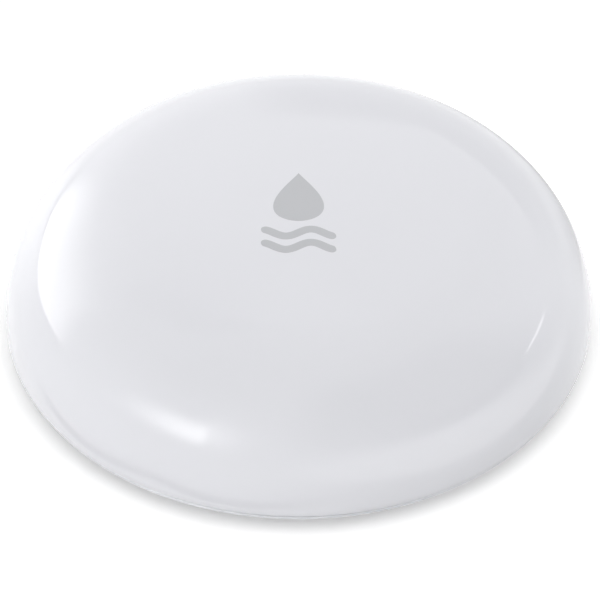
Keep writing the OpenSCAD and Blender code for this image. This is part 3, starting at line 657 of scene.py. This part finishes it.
# light cards by direction: azimuth from the front towards the right, low, top and wide, all in degrees
# reach is its distance in metres, and a fade the share of its height or width that softens from that edge
# a card that is only for light has no mirror image, and one that is only for the mirror gives no light
# a card with dim is a grey flag, which takes that share of the white room out of the mirror image
cards = {
    "leftCard": {"azimuth": -122, "low": -1, "top": 44, "wide": 58, "roll": 15, "level": 2.8,
                 "fadeTop": 0.85, "fadeLow": 0.02, "fadeLeft": 0.25, "fadeRight": 0.25},
    "leftGlow": {"azimuth": -112, "low": 0, "top": 17.5, "wide": 52, "reach": 0.033, "level": 0.5,
                 "fadeTop": 0.02, "fadeLow": 0.9},
    "frontCard": {"azimuth": -51.2, "low": 1, "top": 28, "wide": 40, "level": 4.9, "only": "light",
                  "fadeTop": 0.55, "fadeLow": 0.4, "fadeLeft": 0.85, "fadeRight": 0.12},
    "frontShine": {"azimuth": -41.3, "low": 9.71, "top": 26.49, "wide": 32.32, "roll": -2.17, "reach": 0.045,
                   "level": 4.9, "only": "mirror",
                   "fadeTop": 0.556, "fadeLow": 0.395, "fadeLeft": 0.87, "fadeRight": 0.114},
    "frontTail": {"azimuth": -26, "low": 1, "top": 34, "wide": 24, "level": 2.2, "only": "light",
                  "fadeTop": 0.6, "fadeLow": 0.4, "fadeLeft": 0.25, "fadeRight": 0.75},
    "tailShine": {"azimuth": -20.4, "low": 9.23, "top": 29.77, "wide": 18.88, "roll": -0.25, "reach": 0.045,
                  "level": 2.2, "only": "mirror",
                  "fadeTop": 0.606, "fadeLow": 0.395, "fadeLeft": 0.254, "fadeRight": 0.743},
    "frontGlow": {"azimuth": 48, "low": -10, "top": 14.9, "wide": 115, "roll": -8.9, "reach": 0.033,
                  "level": 1.0, "only": "mirror",
                  "fadeTop": 0.15, "fadeLow": 0.02, "fadeLeft": 0.4, "fadeRight": 0.6},
    "rightStrip": {"azimuth": 101, "low": 7, "top": 10, "wide": 20, "level": 3.6,
                   "fadeTop": 0.4, "fadeLow": 0.4},
    "backFlag": {"azimuth": 150, "low": 0, "top": 36.25, "wide": 90, "roll": 13, "reach": 0.033, "dim": 0.55,
                 "fadeTop": 0.012, "fadeLow": 1.0, "fadeRight": 0.12},
    "rightFlag": {"azimuth": 132, "low": 0, "top": 16, "wide": 70, "reach": 0.03, "dim": 0.45,
                  "fadeTop": 0.5, "fadeLow": 0.02},
    "leftEdgeFlag": {"azimuth": -48, "low": 0, "top": 4.6, "wide": 51, "reach": 0.0275, "dim": 0.75,
                     "fadeTop": 0.6, "fadeLow": 0.02},
    "frontEdgeFlag": {"azimuth": -15, "low": 0, "top": 4.6, "wide": 51, "reach": 0.0275, "dim": 0.9,
                      "fadeTop": 0.6, "fadeLow": 0.02},
    "leftFlag": {"azimuth": -145, "low": 36, "top": 72, "wide": 70, "dim": 0.6,
                 "fadeTop": 0.3, "fadeLow": 0.35},
    "frontFlag": {"azimuth": 50, "low": 2, "top": 70, "wide": 120, "dim": 0.8,
                  "fadeTop": 0.5, "fadeLow": 0.02},
}


def lightCard(name, s):
    a = np.radians(s["azimuth"])
    reach = s.get("reach", studio["cardReach"])
    low = reach * np.tan(np.radians(s["low"]))
    top = reach * np.tan(np.radians(s["top"]))
    w = 2 * reach * np.tan(np.radians(s["wide"] / 2))
    h = top - low
    card, tree = bareSheet(name, (-w / 2, low), (w / 2, top), 0, name)
    coords = addNode(tree, "ShaderNodeTexCoord", (-900, 0))
    axes = splitAxes(tree, coords.outputs["Object"], (-700, 0))
    left = s.get("fadeLeft", studio["cardFade"])
    right = s.get("fadeRight", studio["cardFade"])
    share = 1.0
    for value, start, full in ((axes["Y"], top, top - h * s["fadeTop"]),
                               (axes["Y"], low, low + h * s["fadeLow"]),
                               (axes["X"], -w / 2, w * (left - 0.5)),
                               (axes["X"], w / 2, w * (0.5 - right))):
        share = mathStep(tree, "MULTIPLY", fadeStep(tree, value, start, full), share)
    level = mathStep(tree, "MULTIPLY", share, s.get("level", 0.0))
    glow = linkIn(tree, addNode(tree, "ShaderNodeEmission", (-100, 0)), Strength=level)
    kept = mathStep(tree, "MULTIPLY_ADD", share, -s.get("dim", 0.0), 1.0)
    clear = linkIn(tree, addNode(tree, "ShaderNodeBsdfTransparent", (-100, -200)), Color=kept)
    linkIn(tree, tree.nodes["Material Output"], Surface=addShaders(tree, glow, clear, (100, 0)))
    away = Vector((np.sin(a), -np.cos(a), 0))
    up = Matrix.Rotation(np.radians(s.get("roll", 0)), 3, away) @ Vector((0, 0, 1))
    standAt(card, away * reach, up.cross(away), up, away)
    card.visible_camera = False
    card.visible_diffuse = "level" in s and s.get("only") != "mirror"
    card.visible_glossy = s.get("only") != "light"
    card.visible_shadow = False
    card.light_linking.receiver_collection = offFloor


# fill lamps that leave no mirror image: level is the share of full light on a surface that faces the lamp
# a lamp with beamR is a beam of that radius in millimetres at the sensor
fills = {
    "shadowLamp": {"azimuth": 6, "elevation": 79, "level": 1.2, "size": 1.15, "on": "floor"},
    "frontLow": {"azimuth": 15, "elevation": 10, "level": 0.35},
    "frontHigh": {"azimuth": 15, "elevation": 35, "level": 0.07},
    "frontRightLow": {"azimuth": 60, "elevation": 10, "level": 0.21},
    "rightLow": {"azimuth": 105, "elevation": 10, "level": 0.065},
    "rightHigh": {"azimuth": 105, "elevation": 35, "level": 0.35},
    "backRightLow": {"azimuth": 150, "elevation": 10, "level": 0.03},
    "backRightHigh": {"azimuth": 150, "elevation": 35, "level": 0.44},
    "backLeftLow": {"azimuth": -165, "elevation": 10, "level": 0.27},
    "backLeftHigh": {"azimuth": -165, "elevation": 35, "level": 0.205},
    "leftBackLow": {"azimuth": -120, "elevation": 10, "level": 0.18},
    "leftBackHigh": {"azimuth": -120, "elevation": 35, "level": 0.02},
    "leftLow": {"azimuth": -75, "elevation": 10, "level": 0.335},
    "frontLeftLow": {"azimuth": -30, "elevation": 10, "level": 0.27},
    "frontLeftHigh": {"azimuth": -30, "elevation": 45, "level": 0.082},
    "frontUnder": {"azimuth": 35, "elevation": -20, "level": 0.05},
    "underLamp": {"azimuth": 0, "elevation": -90, "level": 0.6, "beamR": 23.0, "beamEdge": 0.05,
                  "bulb": 0.005},
}


def fillLamp(name, s):
    reach = studio["lampReach"]
    a, e = np.radians(s["azimuth"]), np.radians(s["elevation"])
    away = Vector((np.sin(a) * np.cos(e), -np.cos(a) * np.cos(e), np.sin(e)))
    fullLight = np.pi ** 2 * reach ** 2  # watts of a disc lamp that light a white surface fully
    data = bpy.data.lights.new(name, "SPOT" if "beamR" in s else "AREA")
    if "beamR" in s:  # a beam as wide as the underside, so it stays off the sides
        data.spot_size = 2 * np.arctan(s["beamR"] * mm / reach)
        data.spot_blend = s["beamEdge"]
        data.shadow_soft_size = s["bulb"]
        data.energy = s["level"] * 4 * fullLight  # a beam's watts count all round
    else:
        data.shape = "DISK"
        data.size = s.get("size", studio["lampSize"])
        data.energy = s["level"] * fullLight
    lamp = addObject(name, data)
    lamp.matrix_world = Matrix.Translation(away * reach) @ away.to_track_quat("Z", "Y").to_matrix().to_4x4()
    lamp.visible_camera = False
    lamp.visible_glossy = False
    lamp.light_linking.receiver_collection = onFloor if s.get("on") == "floor" else offFloor


makeWorld(studio)
floor = makeFloor(studio)
onFloor = bpy.data.collections.new("onFloor")  # one lamp lights the floor, so there is one soft shadow
offFloor = bpy.data.collections.new("offFloor")
for group, state in ((onFloor, "INCLUDE"), (offFloor, "EXCLUDE")):
    group.objects.link(floor)
    group.collection_objects[0].light_linking.link_state = state
for name, s in cards.items():
    lightCard(name, s)
for name, s in fills.items():
    fillLamp(name, s)
print("studio lit")
